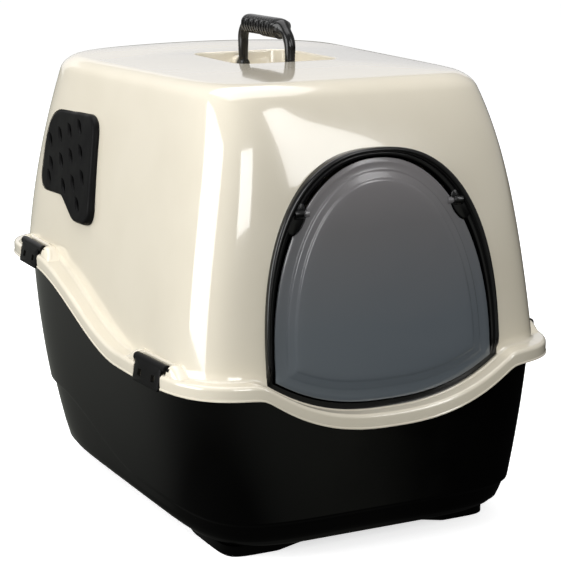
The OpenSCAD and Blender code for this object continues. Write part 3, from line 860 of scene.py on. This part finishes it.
def tray_shell():
    """Tray from the middle of its underside, out round the wall and the lip, and back along the inside."""
    lip_d, top, w = WALL + SKIRT_ROUND + 1, SKIRT_H - WALL - TRAY_GAP, TRAY_WALL
    step = [tray_step_z(tray_plan(30, 0, t)) for t in T]
    lip = [skirt_z(flange(lip_d, t)) + top for t in T]
    rim = [skirt_z(tray_plan(150, w, t)) + top for t in T]
    low = [24 + 0.25 * (z - 24) for z in step]

    def level(z, d, e):
        return [(*tray_plan(z, d, t, e), z) for t in T]

    def along(zs, d, e=0.0):
        return [(*tray_plan(z, d, t, e), z) for z, t in zip(zs, T)]

    def plinth(d, t):
        return plan(PLINTH_W / 2 - d, PLINTH_L / 2 - d, 0, 0, t, PLINTH_N)

    def pan(d, z):
        return [(*plinth(d, t), z) for t in T]

    def foot(d, dz):
        return [(*plinth(d, t), foot_z(*plinth(0, t)) + dz) for t in T]

    def lip_ring(d, dz):
        return [(*flange(lip_d + d, t), z + dz) for z, t in zip(lip, T)]

    rings = [pan(70, FOOT_H), pan(8.6, FOOT_H), pan(8, FOOT_H - 0.1),
             foot(7.6, 0.3), foot(7, 0), foot(1, 0), foot(0.3, 0.3), foot(0, 1),
             pan(0, 9.6), pan(-0.5, 10.6), pan(-1.4, 11),
             level(11, 15.5, 12.5), level(11.4, 13.6, 11.6), level(12.6, 11.2, 10.7), level(15, 8, 9.4),
             level(18, 5.6, 7.9), level(21, 4.2, 6.6), level(23, 3.4, 4.6)]
    rings += [along([lo + (hi - 4 - lo) * k for lo, hi in zip(low, step)], 3, 3 * (1 - k))
              for k in steps(0, 1, 8)]
    for dz, d in ((-2.6, 2.9), (-1.7, 2.5), (-0.9, 1.7), (-0.3, 0.8), (0.6, 0.15), (1.8, 0)):
        rings.append(along([z + dz for z in step], d))
    rings += [along([a + 2.5 + (b - 3.4 - a - 2.5) * k for a, b in zip(step, rim)], 0)
              for k in steps(0, 1, 16)]
    rings += [lip_ring(0.4, -2.6), lip_ring(0, -2.2), lip_ring(0, -0.4), lip_ring(0.4, 0)]
    rings.append(along(rim, w - 0.5))
    rings += [along([b - 0.6 - (b - a - 3) * k for a, b in zip(step, rim)], w) for k in steps(0, 1, 10)]
    rings += [along(step, w + 2.5), along([z + 1 for z in low], w + 3, 3),
              level(21, w + 5.5, 7), level(17, w + 8, 9), level(14.6, w + 12, 11), level(14, w + 14, 12),
              pan(2.6, 13.8), pan(3, 13), pan(3, 9.5), pan(3.6, 8.2), pan(5, 7.6), pan(60, 7.5)]
    return loft(rings)


def foot_z(x, y):
    """Underside of the plinth: raised between its corner feet."""
    if abs(y) / PLINTH_L > abs(x) / PLINTH_W:
        return FOOT_H * (1 - max(0.0, min(1.0, (abs(x) - 66) / 23)))
    return FOOT_H * (1 - max(0.0, min(1.0, (abs(y) - 92) / 22)))


def make_tray():
    """Tray with a catch behind each window of the latches."""
    tray = raw("tray_shell", tray_shell())
    catches, root, mid = [], -6, -ROLL_UP - SKIRT_H + 6.5
    for sx, sy in CORNERS:
        for v in (-WINDOW_Y, WINDOW_Y):
            rings = [[(root + dx, v + a * k, mid + b * k) for a, b in rounded_rect(5.2, 5, 0.8, 3)]
                     for dx, k in ((0, 1), (6, 1), (6.4, 0.88))]
            catches.append(moved(loft(rings), at_latch(sx, sy)))
    add_to(tray, merged(*catches))
    dress(tray, BLACK_TRAY, "base", 35, ("base_tray",))


make_hood()
make_frame()
make_flap()
make_handle()
make_tray()
for name, sx, sy in (("latch_left_front", -1, -1), ("latch_left_rear", -1, 1),
                     ("latch_right_front", 1, -1), ("latch_right_rear", 1, 1)):
    make_latch(name, sx, sy)
for name, side in (("left", -1), ("right", 1)):
    make_grille("vent_grille_" + name, side)
    make_filter("carbon_filter_" + name, side)
    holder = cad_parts["filter_holder_" + name]
    holder.data.materials.clear()
    holder.data.materials.append(HOLDER)

# ---------------------------------------------------------------- stage, light and camera

scene = bpy.context.scene


def make_floor():
    """Plain pale floor."""
    mat, nodes, links, bsdf = node_material("floor")
    coord = nodes.new("ShaderNodeTexCoord").outputs["Object"]
    drift = noise(nodes, links, coord, 2, 2)
    links.new(ramp(nodes, links, drift, ((0.3, (0.93, 0.93, 0.93)), (0.7, (0.95, 0.95, 0.95)))),
              bsdf.inputs["Base Color"])
    bsdf.inputs["Roughness"].default_value = 0.9
    bsdf.inputs["Specular IOR Level"].default_value = 0.0
    bsdf.inputs["Emission Color"].default_value = (1, 1, 1, 1)
    bsdf.inputs["Emission Strength"].default_value = 0.66
    half = 15000
    floor = raw("floor", ([(-half, -half, 0), (half, -half, 0), (half, half, 0), (-half, half, 0)],
                          [(0, 1, 2, 3)]))
    floor.data.materials.append(mat)
    floor.visible_glossy = False
    floor.visible_diffuse = False


def area(name, place, target, size, power, colour=(1, 1, 1)):
    """Rectangular softbox at place that faces target; it isn't seen by the camera."""
    data = bpy.data.lights.new(name, "AREA")
    data.shape = "RECTANGLE"
    data.size, data.size_y = size
    data.energy = power
    data.color = colour
    obj = bpy.data.objects.new(name, data)
    scene.collection.objects.link(obj)
    z = [a - b for a, b in zip(place, target)]
    k = math.hypot(*z)
    z = [c / k for c in z]
    x = (-z[1], z[0], 0.0)
    k = math.hypot(*x) or 1
    x = [c / k for c in x] if k > 1e-6 else (1, 0, 0)
    y = (z[1] * x[2] - z[2] * x[1], z[2] * x[0] - z[0] * x[2], z[0] * x[1] - z[1] * x[0])
    obj.visible_camera = False
    obj.matrix_world = Matrix(((x[0], y[0], z[0], place[0]), (x[1], y[1], z[1], place[1]),
                               (x[2], y[2], z[2], place[2]), (0, 0, 0, 1)))
    return obj


def make_world():
    """Studio surroundings: pale overhead; below the table's edge pale at the left and dark at the right."""
    world = bpy.data.worlds.new("studio")
    world.use_nodes = True
    nodes, links = world.node_tree.nodes, world.node_tree.links
    split = nodes.new("ShaderNodeSeparateXYZ")
    links.new(nodes.new("ShaderNodeTexCoord").outputs["Generated"], split.inputs["Vector"])
    high = ramp(nodes, links, split.outputs["Z"], ((0.0, (0.24, 0.24, 0.235)), (0.5, (0.40, 0.40, 0.40))))
    across = mapped(nodes, links, split.outputs["X"], 0, 1, -1, 1)
    card = ramp(nodes, links, across, ((0.2, (0.22, 0.225, 0.21)), (0.62, (0.28, 0.29, 0.26)),
                                       (0.732, (0.27, 0.275, 0.24)), (0.742, (0.003, 0.003, 0.003))))
    colour_a, colour_b, result = 6, 7, 2  # the colour sockets of a mix node
    fade = nodes.new("ShaderNodeMix")
    fade.data_type = "RGBA"
    links.new(mapped(nodes, links, split.outputs["Z"], 0, 0.95, -0.2, -0.5), fade.inputs["Factor"])
    links.new(card, fade.inputs[colour_a])
    fade.inputs[colour_b].default_value = (0.01, 0.01, 0.01, 1)
    level = nodes.new("ShaderNodeMix")
    level.data_type = "RGBA"
    links.new(mapped(nodes, links, split.outputs["Z"], 0, 1, -0.03, 0.03), level.inputs["Factor"])
    links.new(fade.outputs[result], level.inputs[colour_a])
    links.new(high, level.inputs[colour_b])
    links.new(level.outputs[result], nodes["Background"].inputs["Color"])
    nodes["Background"].inputs["Strength"].default_value = 1.0
    scene.world = world


make_floor()
make_world()
area("top_box", (0.0, 0.3, 2.2), (0, 0, 0.4), (1.8, 1.8), 26, (1.0, 0.985, 1.0))
area("left_box", (-2.4, 0.1, 0.9), (0, 0, 0.3), (1.9, 1.7), 50)
area("front_box", (-0.55, -2.7, 1.35), (0, 0, 0.4), (1.0, 1.3), 25)
patch = area("patch_box", (0.94, -2.0, 1.6), (0, -0.22, 0.36), (0.4, 1.6), 11)
patch.visible_diffuse = False
area("back_box", (0.9, 3.2, 1.15), (0, 0, 0.5), (4.2, 1.3), 8, (0.97, 0.97, 1.0))

scene.view_settings.view_transform = "Standard"


def make_camera():
    """Camera at the left front corner, slightly above the roof."""
    az, el, roll = (math.radians(v) for v in (-26.38536, 12.713286, -0.16553))
    fwd = (-math.sin(az) * math.cos(el), math.cos(az) * math.cos(el), -math.sin(el))
    right = (math.cos(az), math.sin(az), 0.0)
    up = (right[1] * fwd[2] - right[2] * fwd[1], right[2] * fwd[0] - right[0] * fwd[2],
          right[0] * fwd[1] - right[1] * fwd[0])
    c, s = math.cos(roll), math.sin(roll)
    r = [c * a + s * b for a, b in zip(right, up)]
    u = [c * b - s * a for a, b in zip(right, up)]
    data = bpy.data.cameras.new("camera")
    data.lens, data.sensor_width = 114.66, 36
    data.clip_end = 60
    cam = bpy.data.objects.new("camera", data)
    place = (-0.78824739, -1.60520362, 0.60937522)
    cam.matrix_world = Matrix([(r[i], u[i], -fwd[i], place[i]) for i in range(3)] + [(0, 0, 0, 1)])
    scene.collection.objects.link(cam)
    scene.camera = cam


make_camera()
